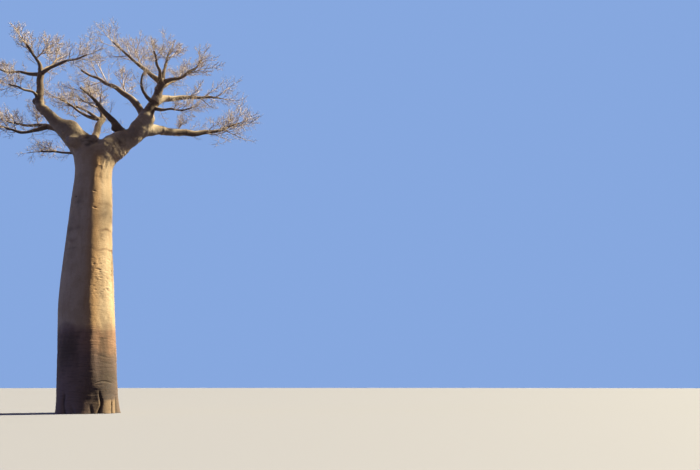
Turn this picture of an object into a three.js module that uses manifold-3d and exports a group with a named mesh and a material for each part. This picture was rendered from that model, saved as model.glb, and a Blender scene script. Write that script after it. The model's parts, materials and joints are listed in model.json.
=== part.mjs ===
// A tall baobab, bare of leaves: a bottle-shaped trunk, stout boughs and masses of fine twigs.
// Lengths are millimetres, angles are degrees, +Z is up, and the origin is the middle of the
// flat cut at ground level. A bearing is measured from +X towards +Y, a rise from the level.
import * as THREE from "three";
import { mergeVertices } from "three/addons/utils/BufferGeometryUtils.js";
import Module from "manifold-3d";

const wasm = await Module();
wasm.setup();

const metre = 1000;
const gap = 0.35; // how far a limb's corners move out when it cuts another, for 0.3 between faces
const weld = 1e-4; // corners nearer than this are one

const trunk = {
  height: 16.5 * metre, // to the top of the dome in the fork
  foot: 1.73 * metre, // radius above the root flare
  neck: 1.08 * metre, // radius under the fork
  neckHeight: 14 * metre, // where the bottle shape ends
  bottle: 2, // how late the bottle narrows
  lean: -0.5 * metre, // how far the axis moves along X
  leanHeight: 11 * metre, // where it stands upright again
  dome: 0.9 * metre, // height of the rounded top
  flare: 0.05, // how much wider the foot is, as a share
  flareHeight: 0.6 * metre,
  flute: 0.04, // depth of the folds in the foot, as a share
  fluteHeight: 0.9 * metre,
  flutes: 7,
  sides: 26,
  footRings: [0, 0.25, 0.55, 0.95, 1.5, 2.3].map((z) => z * metre),
  bodyStart: 3.6 * metre,
  bodyStep: 1.55 * metre,
  domeRings: [0, 0.35, 0.62, 0.82, 0.95], // as shares of the dome's height
};

const limb = {
  pace: 0.7 * metre, // length of one step along a bough
  leastSteps: 4,
  stoutSides: 8,
  slimSides: 6,
  stout: 0.3 * metre, // a foot radius above this takes the stout count of sides
  taper: 0.75, // how early a bough narrows
  collar: 0.3, // how much wider a bough is at its foot, as a share
  collarLength: 1.5, // how fast that fades, as a share of its radius there
  crook: 7, // how far a bough wanders off its bearing, in degrees
  crookLength: 1.5 * metre,
  crookBeat: 1.3, // how much faster it wanders up and down than sideways
  dome: [
    { out: 0.55, width: 0.82 },
    { out: 0.85, width: 0.45 },
  ], // the rings of a rounded end, as shares of its radius
};

const spray = {
  orders: 5, // shoots of shoots that the real twigs have, a mass's stem being the first
  solidOrders: 3, // orders that the solids hold, each carried out to its last leader's tip
  stem: { steps: 4, shoots: 7, first: 0.1, sides: 4 },
  shoot: { steps: 2, shoots: 4, first: 0.3, sides: 3 }, // side shoots and where the first one leaves
  side: { length: 0.54, radius: 0.6, spread: 46 }, // shares of the shoot that it leaves
  leader: { length: 0.5, radius: 0.9, spread: 14 },
  lengthRange: [0.75, 1.25], // drawn for each shoot
  spreadRange: [0.75, 1.25],
  turn: 137.5, // turn from one shoot to the next round its parent
  turnRange: [-30, 30],
  flatness: 0.85, // how much of the spread goes up and down
  wander: 0.2, // how far a shoot bends out of its heading
  lift: 0.12, // how far it bends upwards
  taper: 0.6, // a shoot's radius at its tip, as a share
  leastRadius: 0.014 * metre,
  endStem: 0.75, // a stem's radius as a share of the bough that it carries on
  sideStem: [0.05 * metre, 0.03 * metre], // its radii where it leaves a bough's side
  sunk: 0.5, // how far back into its bough a stem starts before it is cut clear, as a share
  clearance: 0.05 * metre, // kept from every limb and every other mass
  stout: 1.2, // how much stouter the solids are, since they have few sides
  root: 0.78, // how much of that a side twig has, so that its foot stays inside its parent
  narrow: 0.65, // how much a solid twig narrows
  leastStep: 0.05 * metre,
};

// Each bough: the limb it leaves and how far along, its length, then its bearing and rise at its
// foot, middle and end, its radius at both ends, and the share of its length that is bare. A mass's
// stem carries on where that share ends. Lengths and radii are metres.
const bough = (name, parent, from, length, bearing, rise, radius, bare = 1) => ({
  name,
  parent,
  from,
  length: length * metre,
  bearing,
  rise,
  radius: radius.map((r) => r * metre),
  bare,
});

const boughTable = [
  bough("left_lower", "trunk", 0.95, 4.3, [176, 188, 190], [46, 34, 50], [0.78, 0.27]),
  bough("left_upper", "left_lower", 1, 2.2, [196, 190, 190], [84, 88, 88], [0.27, 0.19]),
  bough("right_lower", "trunk", 0.935, 4.2, [0, -4, -6], [28, 43, 64], [0.76, 0.46]),
  bough("right_upper", "right_lower", 1, 2.8, [-10, 0, 10], [66, 70, 80], [0.42, 0.2]),
  bough("back", "trunk", 0.95, 3.6, [115, 80, 60], [60, 56, 54], [0.3, 0.18]),
  bough("low_left", "trunk", 0.88, 4.5, [172, 162, 168], [34, 54, 8], [0.34, 0.17]),
  bough("low_back", "trunk", 0.95, 4.0, [120, 150, 165], [16, 8, 2], [0.12, 0.05], 0.7),
  bough("low_left_under", "low_left", 0.97, 3.0, [176, 185, 176], [-34, -4, 22], [0.15, 0.05], 0.5),
  bough("low_left_over", "low_left", 0.95, 2.8, [150, 160, 150], [8, 6, 18], [0.13, 0.05], 0.5),
  bough("left_top", "left_upper", 0.98, 2.4, [190, 205, 212], [86, 48, 52], [0.15, 0.05], 0.5),
  bough("left_out", "left_upper", 0.95, 2.6, [165, 172, 186], [12, 0, 14], [0.12, 0.045], 0.5),
  bough("left_front", "left_upper", 0.96, 3.8, [-50, -45, -40], [30, 2, 18], [0.13, 0.045], 0.5),
  bough("left_back", "left_upper", 0.97, 2.9, [60, 62, 70], [44, 44, 38], [0.12, 0.045], 0.5),
  bough("left_side", "left_upper", 0.2, 2.4, [215, 225, 230], [44, -4, 4], [0.1, 0.04], 0.45),
  bough("middle", "right_lower", 0.55, 4.3, [190, 212, 220], [52, 36, 24], [0.3, 0.06], 0.55),
  bough("far_right", "right_lower", 0.82, 7.7, [32, 22, 2], [12, 11, 36], [0.4, 0.06], 0.74),
  bough("inner_left", "right_lower", 1, 6.0, [150, 152, 158], [66, 33, 30], [0.28, 0.06], 0.6),
  bough("hook", "right_upper", 0.42, 2.8, [225, 225, 215], [4, 62, 150], [0.14, 0.05], 0.8),
  bough("right_level", "right_upper", 0.5, 4.7, [26, 20, 8], [22, 15, 8], [0.25, 0.06], 0.6),
  bough("right_front", "right_upper", 0.3, 3.0, [-30, -38, -34], [-16, -8, 6], [0.13, 0.045], 0.5),
  bough("top_left", "right_upper", 0.98, 3.9, [196, 206, 210], [28, 25, 28], [0.18, 0.05], 0.5),
  bough("top", "right_upper", 0.99, 2.9, [60, 56, 50], [80, 70, 64], [0.14, 0.05], 0.5),
  bough("top_right", "right_upper", 0.97, 3.3, [-15, 5, 20], [10, 36, 62], [0.16, 0.05], 0.6),
  bough("front", "right_upper", 0.9, 3.3, [-90, -106, -96], [30, 14, 16], [0.15, 0.05], 0.5),
  bough("far_back", "right_upper", 0.85, 3.5, [50, 56, 50], [30, 34, 34], [0.15, 0.05], 0.5),
  bough("back_left", "back", 0.98, 3.1, [175, 170, 176], [6, 28, 36], [0.13, 0.05], 0.5),
  bough("back_low", "back", 0.9, 3.3, [165, 140, 130], [50, 26, 20], [0.12, 0.045], 0.5),
  bough("back_high", "back", 0.98, 3.7, [100, 110, 100], [54, 40, 44], [0.15, 0.05], 0.5),
];

// Each mass of twigs: the bough that its stem carries on. Where the stem leaves the bough's side
// instead, it is given how far along, the stem's length in metres, and its bearing and rise.
const mass = (name, parent, from = 1, length = 0, way = null) => ({
  name: `twigs_${name}`,
  parent,
  from,
  length: length * metre,
  way,
});

const massTable = [
  mass("left_top", "left_top"),
  mass("left_top_side", "left_top", 0.8, 1.3, [40, 54]),
  mass("left_out", "left_out"),
  mass("left_front", "left_front"),
  mass("left_back", "left_back"),
  mass("left_side", "left_side"),
  mass("low_left_under", "low_left_under"),
  mass("low_left_over", "low_left_over"),
  mass("low_left_side", "low_left_over", 0.5, 1.1, [140, 70]),
  mass("low_back", "low_back"),
  mass("middle", "middle"),
  mass("far_right", "far_right"),
  mass("far_right_low", "far_right", 0.88, 2.4, [-26, -18]),
  mass("far_right_side", "far_right", 0.5, 0.9, [60, 55]),
  mass("inner_left", "inner_left"),
  mass("inner_left_side", "inner_left", 0.7, 1.4, [120, 70]),
  mass("hook", "hook"),
  mass("right_level", "right_level"),
  mass("right_level_side", "right_level", 0.8, 1.3, [10, 26]),
  mass("right_front", "right_front"),
  mass("top_left", "top_left"),
  mass("top_left_side", "top_left", 0.8, 1.3, [140, 62]),
  mass("top", "top"),
  mass("top_right", "top_right"),
  mass("top_right_side", "top_right", 0.85, 1.3, [-36, 14]),
  mass("front", "front"),
  mass("far_back", "far_back"),
  mass("back_left", "back_left"),
  mass("back_low", "back_low"),
  mass("back_high", "back_high"),
];

const bark = { trunk: 0xb39a78, bough: 0x9a8468, twig: 0x8d7a66 };
const barkRoughness = 0.9;

const radians = THREE.MathUtils.degToRad;
const up = new THREE.Vector3(0, 0, 1);
const right = new THREE.Vector3(1, 0, 0);
const steep = 0.9; // the rise of a heading that is too near upright to be turned against it

// A unit vector on a bearing and a rise.
function heading(bearing, rise) {
  const level = Math.cos(radians(rise));
  return new THREE.Vector3(
    level * Math.cos(radians(bearing)),
    level * Math.sin(radians(bearing)),
    Math.sin(radians(rise)),
  );
}

// The value at t of the parabola through three values at 0, a half and 1.
function through([a, b, c], t) {
  return a * (1 - t) * (1 - 2 * t) + 4 * b * t * (1 - t) + c * t * (2 * t - 1);
}

// A number between two others that depends only on a shoot's own number and which draw it is.
// The other draws bend a shoot. A shoot's own shoots are numbered on from it.
const drawOf = { turn: 11, spread: 12, length: 13 };
const numbering = 10;
const scatter = { shoot: 12.9898, draw: 78.233, stretch: 43758.5453 };
function draw(id, which, [low, high]) {
  const s = Math.sin(id * scatter.shoot + which * scatter.draw) * scatter.stretch;
  return low + (high - low) * (s - Math.floor(s));
}

function trunkAxis(z) {
  const t = Math.min(z / trunk.leanHeight, 1);
  return trunk.lean * Math.sin((t * Math.PI) / 2);
}

function trunkRadius(z, angle) {
  const t = Math.min(z / trunk.neckHeight, 1);
  const body = trunk.neck + (trunk.foot - trunk.neck) * (1 - t ** trunk.bottle);
  const flare = trunk.flare * Math.exp(-z / trunk.flareHeight);
  const fold = trunk.flute * Math.exp(-z / trunk.fluteHeight) * Math.cos(trunk.flutes * angle);
  const low = trunk.height - trunk.dome;
  const dome = z > low ? Math.sqrt(Math.max(1 - ((z - low) / trunk.dome) ** 2, 0)) : 1;
  return body * (1 + flare + fold) * dome;
}

// Faces between rings of points of one count, closed by a fan at each end.
function loft(rings) {
  const count = rings[0].length;
  const points = rings.flat();
  const faces = [];
  for (let r = 0; r + 1 < rings.length; r++)
    for (let i = 0; i < count; i++) {
      const a = r * count + i;
      const b = r * count + ((i + 1) % count);
      faces.push(a, b, b + count, a, b + count, a + count);
    }
  const last = (rings.length - 1) * count;
  for (let i = 1; i + 1 < count; i++) {
    faces.push(0, i + 1, i);
    faces.push(last, last + i, last + i + 1);
  }
  return solidFrom(points, faces);
}

function solidFrom(points, faces) {
  const flat = new THREE.BufferGeometry()
    .setAttribute("position", new THREE.Float32BufferAttribute(points.flatMap((p) => p.toArray()), 3))
    .setIndex(faces);
  const merged = mergeVertices(flat, weld);
  return new wasm.Manifold(
    new wasm.Mesh({
      numProp: 3,
      vertProperties: merged.attributes.position.array,
      triVerts: new Uint32Array(merged.index.array),
    }),
  );
}

function trunkSolid(grow = 0) {
  const low = trunk.height - trunk.dome;
  const levels = [...trunk.footRings];
  for (let z = trunk.bodyStart; z < low; z += trunk.bodyStep) levels.push(z);
  for (const share of trunk.domeRings) levels.push(low + share * trunk.dome);
  const rings = levels.map((z) =>
    Array.from({ length: trunk.sides }, (_, i) => {
      const angle = (i / trunk.sides) * 2 * Math.PI;
      const r = trunkRadius(z, angle) + grow;
      return new THREE.Vector3(
        trunkAxis(z) + r * Math.cos(angle),
        r * Math.sin(angle),
        z > low ? z + grow : z,
      );
    }),
  );
  return loft(rings);
}

// The points and radii of a bough, worked out step by step from where it starts, and of the part
// beyond its bare share.
function boughPath(b, start, index) {
  const steps = Math.max(limb.leastSteps, Math.round(b.length / limb.pace));
  const step = b.length / steps;
  const points = [start.clone()];
  for (let i = 0; i < steps; i++) {
    const t = (i + 0.5) / steps;
    const phase = (2 * Math.PI * t * b.length) / limb.crookLength + index;
    const way = heading(
      through(b.bearing, t) + limb.crook * Math.sin(phase),
      through(b.rise, t) + limb.crook * Math.cos(limb.crookBeat * phase),
    );
    points.push(points[i].clone().addScaledVector(way, step));
  }
  const collarLength = limb.collarLength * b.radius[0];
  const radii = points.map((_, i) => {
    const t = i / steps;
    const collar = b.from === 1 ? 0 : limb.collar * Math.exp((-t * b.length) / collarLength);
    return THREE.MathUtils.lerp(b.radius[0], b.radius[1], t ** limb.taper) * (1 + collar);
  });
  const bare = Math.max(Math.round(b.bare * steps), 1);
  return {
    ...b,
    points: points.slice(0, bare + 1),
    radii: radii.slice(0, bare + 1),
    twigged: { points: points.slice(bare), radii: radii.slice(bare), length: step * (steps - bare) },
  };
}

function along(path, share) {
  const place = share * (path.points.length - 1);
  const i = Math.min(Math.floor(place), path.points.length - 2);
  return path.points[i].clone().lerp(path.points[i + 1], place - i);
}

// Rings round a line of points, turned as little as they can be from one to the next.
function ringsAlong(points, radii, sides) {
  const way = points.map((p, i) => {
    const before = points[Math.max(i - 1, 0)];
    const after = points[Math.min(i + 1, points.length - 1)];
    return after.clone().sub(before).normalize();
  });
  let across = new THREE.Vector3().crossVectors(way[0], Math.abs(way[0].z) > steep ? right : up);
  return points.map((p, i) => {
    across = across.addScaledVector(way[i], -across.dot(way[i])).normalize();
    const other = new THREE.Vector3().crossVectors(way[i], across);
    return Array.from({ length: sides }, (_, k) => {
      const angle = (k / sides) * 2 * Math.PI;
      return p
        .clone()
        .addScaledVector(across, radii[i] * Math.cos(angle))
        .addScaledVector(other, radii[i] * Math.sin(angle));
    });
  });
}

// A bough's solid. One that forks ends in a dome, and one that carries twigs in a flat face.
function boughSolid(path, grow = 0) {
  const sides = path.radius[0] > limb.stout ? limb.stoutSides : limb.slimSides;
  const points = [...path.points];
  const radii = path.radii.map((r) => r + grow);
  const back = points[0].clone().sub(points[1]).normalize();
  points[0] = points[0].clone().addScaledVector(back, grow);
  const end = points.at(-1);
  const way = end.clone().sub(points.at(-2)).normalize();
  const r = radii.at(-1);
  if (path.bare < 1) points[points.length - 1] = end.clone().addScaledVector(way, grow);
  else
    for (const { out, width } of limb.dome) {
      points.push(end.clone().addScaledVector(way, out * r));
      radii.push(width * r);
    }
  return loft(ringsAlong(points, radii, sides));
}

function largest(solid) {
  const bodies = solid.decompose();
  return bodies.reduce((a, b) => (b.volume() > a.volume() ? b : a));
}

function growBoughs() {
  const paths = new Map();
  boughTable.forEach((b, index) => {
    let start;
    if (b.parent === "trunk") {
      const z = b.from * trunk.height;
      start = new THREE.Vector3(trunkAxis(z), 0, z);
    } else start = along(paths.get(b.parent), b.from);
    paths.set(b.name, boughPath(b, start, index));
  });
  return paths;
}

// Distance from a point to the stretch of line between two others.
function reach(p, a, b) {
  const ab = b.clone().sub(a);
  const t = THREE.MathUtils.clamp(p.clone().sub(a).dot(ab) / ab.lengthSq(), 0, 1);
  return p.distanceTo(a.clone().addScaledVector(ab, t));
}

function reachOfLine(p, points) {
  return Math.min(...points.slice(1).map((b, i) => reach(p, points[i], b)));
}

function touchesLimb(p, radius, paths, own) {
  const z = THREE.MathUtils.clamp(p.z, 0, trunk.height);
  const side = Math.hypot(p.x - trunkAxis(z), p.y, p.z - z);
  if (side < trunkRadius(Math.min(z, trunk.height - trunk.dome), 0) + radius + spray.clearance)
    return true;
  for (const path of paths.values())
    for (let i = 0; i + 1 < path.points.length; i++) {
      if (path.name === own && i + 2 >= path.points.length) continue;
      const near = reach(p, path.points[i], path.points[i + 1]);
      if (near < Math.max(path.radii[i], path.radii[i + 1]) + radius + spray.clearance) return true;
    }
  return false;
}

// A mass's space is where its own stem is nearer than every other mass's.
function inSpace(p, radius, own, masses) {
  const mine = reachOfLine(p, own.stem.points);
  return masses.every(
    (other) =>
      other === own ||
      reachOfLine(p, other.stem.points) - mine > 2 * (radius + spray.clearance),
  );
}

// The points of a shoot: it bends at each step by three draws, and upwards.
function shootPoints(id, start, way, length, steps) {
  const points = [start];
  for (let i = 0; i < steps; i++) {
    const [x, y, z] = [1, 2, 3].map((axis) => draw(id, 3 * i + axis, [-spray.wander, spray.wander]));
    way = way.clone().add(new THREE.Vector3(x, y, z + spray.lift)).normalize();
    points.push(points[i].clone().addScaledVector(way, length / steps));
  }
  return points;
}

// The shoots that leave a shoot, each spread from the step that it leaves, with its leader last.
function shootsOf(parent) {
  const { shoots, first } = parent.order === 0 ? spray.stem : spray.shoot;
  const steps = parent.points.length - 1;
  return Array.from({ length: shoots + 1 }, (_, k) => {
    const kind = k === shoots ? spray.leader : spray.side;
    const id = parent.id * numbering + k + 1;
    const place = first + ((1 - first) * k) / shoots;
    const step = Math.min(Math.floor(place * steps), steps - 1);
    const way = parent.points[step + 1].clone().sub(parent.points[step]).normalize();
    const across = new THREE.Vector3().crossVectors(way, up).normalize();
    const over = new THREE.Vector3().crossVectors(across, way);
    const turn = radians(spray.turn * (k + parent.order) + draw(id, drawOf.turn, spray.turnRange));
    const spread = radians(kind.spread * draw(id, drawOf.spread, spray.spreadRange));
    const heading = way
      .clone()
      .multiplyScalar(Math.cos(spread))
      .addScaledVector(across, Math.sin(spread) * Math.cos(turn))
      .addScaledVector(over, Math.sin(spread) * Math.sin(turn) * spray.flatness)
      .normalize();
    const length = parent.length * kind.length * draw(id, drawOf.length, spray.lengthRange);
    const local = THREE.MathUtils.lerp(...parent.radii, place);
    const radius = Math.max(local * kind.radius, spray.leastRadius);
    return {
      id,
      order: parent.order + 1,
      length,
      points: shootPoints(id, along(parent, place), heading, length, spray.shoot.steps),
      radii: [radius, radius * spray.taper],
      leads: k === shoots ? parent : null,
    };
  });
}

// The solids hold all the shoots of a stem, the last side shoot of every second one of these, and
// every leader.
function solidShoots(parent) {
  const shoots = shootsOf(parent);
  if (parent.order === 0) return shoots;
  const hasSide = parent.order + 1 < spray.solidOrders && parent.id % 2 === 1;
  return shoots.slice(hasSide ? -2 : -1);
}

// A mass's shoots, order by order, leaving out each that would leave its space or touch a limb.
function growShoots(own, masses, paths) {
  const kept = [];
  let shoots = [own.stem];
  while (shoots.length > 0) {
    const next = [];
    for (const shoot of shoots) {
      if (shoot.order > 0 && !isFree(shoot, own, masses, paths)) continue;
      kept.push(shoot);
      if (shoot.leads) shoot.leads.leader = shoot;
      if (shoot.order + 1 === spray.orders) continue;
      next.push(...solidShoots(shoot));
    }
    shoots = next;
  }
  return kept;
}

function isFree(shoot, own, masses, paths) {
  const [radius] = shoot.radii;
  const ends = shoot.points.slice(1);
  const between = ends.map((p, i) => p.clone().lerp(shoot.points[i], 0.5));
  return [...ends, ...between].every(
    (p) => inSpace(p, radius, own, masses) && !touchesLimb(p, radius, paths, own.parent),
  );
}

// A twig is a shoot and the leaders that carry it on, in one tube that bends where shoots leave it.
function twigSolid(shoot) {
  const line = [];
  let last = shoot;
  for (let part = shoot; part; part = part.leader) {
    if (part.order + 1 < spray.solidOrders) line.push(...part.points.slice(line.length ? 1 : 0));
    last = part;
  }
  const tip = last.points.at(-1);
  if (line.length === 0) line.push(shoot.points[0]);
  if (line.at(-1).distanceTo(tip) > spray.leastStep) line.push(tip);
  const foot = spray.stout * shoot.radii[0] * (shoot.order > 0 ? spray.root : 1);
  if (shoot.order === 0) {
    const back = line[0].clone().sub(line[1]).normalize();
    line[0] = line[0].clone().addScaledVector(back, spray.sunk * foot);
  }
  const radii = line.map((_, i) => foot * (1 - (spray.narrow * i) / (line.length - 1)));
  return loft(ringsAlong(line, radii, shoot.order > 0 ? spray.shoot.sides : spray.stem.sides));
}

function massSolid(own, masses, paths) {
  const shoots = growShoots(own, masses, paths);
  const twigs = shoots.filter((shoot) => !shoot.leads && shoot.order < spray.solidOrders).map(twigSolid);
  return largest(wasm.Manifold.union(twigs).subtract(boughSolid(paths.get(own.parent), gap)));
}

// A stem carries on its bough's own line, or leaves the bough's side on its own heading.
function placeMasses(paths) {
  const { steps } = spray.stem;
  return massTable.map((g, index) => {
    const path = paths.get(g.parent);
    const id = index + 1;
    if (g.way) {
      const points = shootPoints(id, along(path, g.from), heading(...g.way), g.length, steps);
      return { ...g, stem: { id, order: 0, length: g.length, points, radii: spray.sideStem } };
    }
    const { twigged } = path;
    const points = Array.from({ length: steps + 1 }, (_, i) => along(twigged, i / steps));
    const radii = [twigged.radii[0], twigged.radii.at(-1)].map((r) => r * spray.endStem);
    return { ...g, stem: { id, order: 0, length: twigged.length, points, radii } };
  });
}

function meshOf(name, solid, colour) {
  const { vertProperties, triVerts, numProp } = solid.getMesh();
  const position = [];
  for (const v of triVerts) position.push(...vertProperties.slice(v * numProp, v * numProp + 3));
  const geometry = new THREE.BufferGeometry().setAttribute(
    "position",
    new THREE.Float32BufferAttribute(position, 3),
  );
  geometry.computeVertexNormals();
  const material = new THREE.MeshStandardMaterial({
    color: colour,
    roughness: barkRoughness,
    metalness: 0,
    flatShading: true,
  });
  const mesh = new THREE.Mesh(geometry, material);
  mesh.name = name;
  return mesh;
}

const tree = new THREE.Group();
tree.name = "baobab";

const paths = growBoughs();
tree.add(meshOf("trunk", trunkSolid(), bark.trunk));

// Each bough is cut clear of the trunk and of every bough before it.
const grown = [trunkSolid(gap)];
for (const path of paths.values()) {
  const cut = grown.reduce((left, other) => left.subtract(other), boughSolid(path));
  tree.add(meshOf(`bough_${path.name}`, largest(cut), bark.bough));
  grown.push(boughSolid(path, gap));
}

const masses = placeMasses(paths);
for (const own of masses) {
  tree.add(meshOf(own.name, massSolid(own, masses, paths), bark.twig));
}

export default tree;
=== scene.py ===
# A tall baobab, bare of leaves. One skin of bark covers the trunk and the boughs, and the twigs
# grow by the same seeded rule as the solids, carried to finer ones.
# Metres, +Z up, origin on the ground under the trunk. A bearing is measured in degrees from +X
# towards +Y, and a rise from the level.
import json
import math

import bpy
import bmesh
import numpy as np
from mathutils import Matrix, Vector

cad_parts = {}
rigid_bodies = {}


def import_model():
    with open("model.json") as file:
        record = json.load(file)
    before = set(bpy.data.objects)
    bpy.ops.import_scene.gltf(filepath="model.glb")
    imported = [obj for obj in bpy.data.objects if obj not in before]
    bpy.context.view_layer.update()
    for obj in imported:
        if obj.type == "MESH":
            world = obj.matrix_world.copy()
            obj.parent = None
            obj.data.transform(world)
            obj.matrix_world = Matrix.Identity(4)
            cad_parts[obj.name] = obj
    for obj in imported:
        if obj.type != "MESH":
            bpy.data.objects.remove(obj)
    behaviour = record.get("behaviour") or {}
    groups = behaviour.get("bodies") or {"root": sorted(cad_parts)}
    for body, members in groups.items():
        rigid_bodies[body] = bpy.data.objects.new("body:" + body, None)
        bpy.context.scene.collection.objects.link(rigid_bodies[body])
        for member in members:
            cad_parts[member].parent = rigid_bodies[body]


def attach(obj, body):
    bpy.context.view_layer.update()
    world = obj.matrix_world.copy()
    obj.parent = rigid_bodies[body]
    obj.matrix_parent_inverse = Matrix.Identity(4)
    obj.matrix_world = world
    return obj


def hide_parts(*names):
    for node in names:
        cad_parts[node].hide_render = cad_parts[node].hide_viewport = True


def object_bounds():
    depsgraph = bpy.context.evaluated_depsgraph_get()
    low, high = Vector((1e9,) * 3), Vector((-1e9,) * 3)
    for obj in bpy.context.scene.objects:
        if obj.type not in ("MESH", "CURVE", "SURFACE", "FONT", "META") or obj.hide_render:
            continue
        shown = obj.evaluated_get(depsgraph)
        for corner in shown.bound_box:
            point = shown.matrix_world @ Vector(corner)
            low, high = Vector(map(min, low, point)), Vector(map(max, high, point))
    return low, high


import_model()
cadBox = [list(corner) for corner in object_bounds()]
scene = bpy.context.scene
up = np.array([0.0, 0.0, 1.0])


# The camera stands at eye height, turned right and tipped up as the photograph was taken.
viewpoint = {
    "distance": 49.36,
    "eyeHeight": 1.6,
    "turnRight": 18.18,
    "tipUp": 10.9,
    "focalPixels": 780,
    "imageWidth": 700,
    "sensor": 36,
    "farthest": 2000,
}


def placeCamera():
    v = viewpoint
    lens = bpy.data.cameras.new("camera")
    lens.sensor_width = v["sensor"]
    lens.lens = v["focalPixels"] * v["sensor"] / v["imageWidth"]
    lens.clip_end = v["farthest"]
    camera = bpy.data.objects.new("camera", lens)
    camera.location = (0, -v["distance"], v["eyeHeight"])
    camera.rotation_euler = (math.radians(90 + v["tipUp"]), 0, math.radians(-v["turnRight"]))
    scene.collection.objects.link(camera)
    scene.camera = camera


placeCamera()
print("camera placed")


# Sizes of the trunk and the limbs, as the solids have them.
trunk = {
    "height": 16.5,  # to the top of the dome in the fork
    "foot": 1.73,  # radius above the root flare
    "neck": 1.08,  # radius under the fork
    "neckHeight": 14.0,
    "bottle": 2,
    "lean": -0.5,  # how far the axis moves along X
    "leanHeight": 11.0,
    "dome": 0.9,
    "flare": 0.05,
    "flareHeight": 0.6,
    "flute": 0.04,
    "fluteHeight": 0.9,
    "flutes": 7,
}

limb = {
    "pace": 0.7,
    "leastSteps": 4,
    "taper": 0.75,
    "collar": 0.3,
    "collarLength": 1.5,
    "crook": 7,
    "crookLength": 1.5,
    "crookBeat": 1.3,
}


# Each bough: the limb it leaves and how far along, its length, its bearing and rise at foot, middle
# and end, its radius at both ends, and the share of its length that is bare. Past that share it
# carries a mass of twigs.
def bough(parent, at, length, bearing, rise, radius, bare=1):
    return {"parent": parent, "at": at, "length": length, "bearing": bearing, "rise": rise,
            "radius": radius, "bare": bare}


boughs = {
    "left_lower": bough("trunk", 0.95, 4.3, (176, 188, 190), (46, 34, 50), (0.78, 0.27)),
    "left_upper": bough("left_lower", 1, 2.2, (196, 190, 190), (84, 88, 88), (0.27, 0.19)),
    "right_lower": bough("trunk", 0.935, 4.2, (0, -4, -6), (28, 43, 64), (0.76, 0.46)),
    "right_upper": bough("right_lower", 1, 2.8, (-10, 0, 10), (66, 70, 80), (0.42, 0.2)),
    "back": bough("trunk", 0.95, 3.6, (115, 80, 60), (60, 56, 54), (0.3, 0.18)),
    "low_left": bough("trunk", 0.88, 4.5, (172, 162, 168), (34, 54, 8), (0.34, 0.17)),
    "low_back": bough("trunk", 0.95, 4.0, (120, 150, 165), (16, 8, 2), (0.12, 0.05), 0.7),
    "low_left_under": bough("low_left", 0.97, 3.0, (176, 185, 176), (-34, -4, 22), (0.15, 0.05), 0.5),
    "low_left_over": bough("low_left", 0.95, 2.8, (150, 160, 150), (8, 6, 18), (0.13, 0.05), 0.5),
    "left_top": bough("left_upper", 0.98, 2.4, (190, 205, 212), (86, 48, 52), (0.15, 0.05), 0.5),
    "left_out": bough("left_upper", 0.95, 2.6, (165, 172, 186), (12, 0, 14), (0.12, 0.045), 0.5),
    "left_front": bough("left_upper", 0.96, 3.8, (-50, -45, -40), (30, 2, 18), (0.13, 0.045), 0.5),
    "left_back": bough("left_upper", 0.97, 2.9, (60, 62, 70), (44, 44, 38), (0.12, 0.045), 0.5),
    "left_side": bough("left_upper", 0.2, 2.4, (215, 225, 230), (44, -4, 4), (0.1, 0.04), 0.45),
    "middle": bough("right_lower", 0.55, 4.3, (190, 212, 220), (52, 36, 24), (0.3, 0.06), 0.55),
    "far_right": bough("right_lower", 0.82, 7.7, (32, 22, 2), (12, 11, 36), (0.4, 0.06), 0.74),
    "inner_left": bough("right_lower", 1, 6.0, (150, 152, 158), (66, 33, 30), (0.28, 0.06), 0.6),
    "hook": bough("right_upper", 0.42, 2.8, (225, 225, 215), (4, 62, 150), (0.14, 0.05), 0.8),
    "right_level": bough("right_upper", 0.5, 4.7, (26, 20, 8), (22, 15, 8), (0.25, 0.06), 0.6),
    "right_front": bough("right_upper", 0.3, 3.0, (-30, -38, -34), (-16, -8, 6), (0.13, 0.045), 0.5),
    "top_left": bough("right_upper", 0.98, 3.9, (196, 206, 210), (28, 25, 28), (0.18, 0.05), 0.5),
    "top": bough("right_upper", 0.99, 2.9, (60, 56, 50), (80, 70, 64), (0.14, 0.05), 0.5),
    "top_right": bough("right_upper", 0.97, 3.3, (-15, 5, 20), (10, 36, 62), (0.16, 0.05), 0.6),
    "front": bough("right_upper", 0.9, 3.3, (-90, -106, -96), (30, 14, 16), (0.15, 0.05), 0.5),
    "far_back": bough("right_upper", 0.85, 3.5, (50, 56, 50), (30, 34, 34), (0.15, 0.05), 0.5),
    "back_left": bough("back", 0.98, 3.1, (175, 170, 176), (6, 28, 36), (0.13, 0.05), 0.5),
    "back_low": bough("back", 0.9, 3.3, (165, 140, 130), (50, 26, 20), (0.12, 0.045), 0.5),
    "back_high": bough("back", 0.98, 3.7, (100, 110, 100), (54, 40, 44), (0.15, 0.05), 0.5),
}


# The masses of twigs. Each carries on the bough of its own name, but some leave a bough's side: those
# have that bough, how far along, the stem's length, and its bearing and rise.
masses = """left_top left_top_side left_out left_front left_back left_side low_left_under low_left_over
low_left_side low_back middle far_right far_right_low far_right_side inner_left inner_left_side hook
right_level right_level_side right_front top_left top_left_side top top_right top_right_side front
far_back back_left back_low back_high""".split()

sideStems = {
    "left_top_side": ("left_top", 0.8, 1.3, (40, 54)),
    "low_left_side": ("low_left_over", 0.5, 1.1, (140, 70)),
    "far_right_low": ("far_right", 0.88, 2.4, (-26, -18)),
    "far_right_side": ("far_right", 0.5, 0.9, (60, 55)),
    "inner_left_side": ("inner_left", 0.7, 1.4, (120, 70)),
    "right_level_side": ("right_level", 0.8, 1.3, (10, 26)),
    "top_left_side": ("top_left", 0.8, 1.3, (140, 62)),
    "top_right_side": ("top_right", 0.85, 1.3, (-36, 14)),
}


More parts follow.
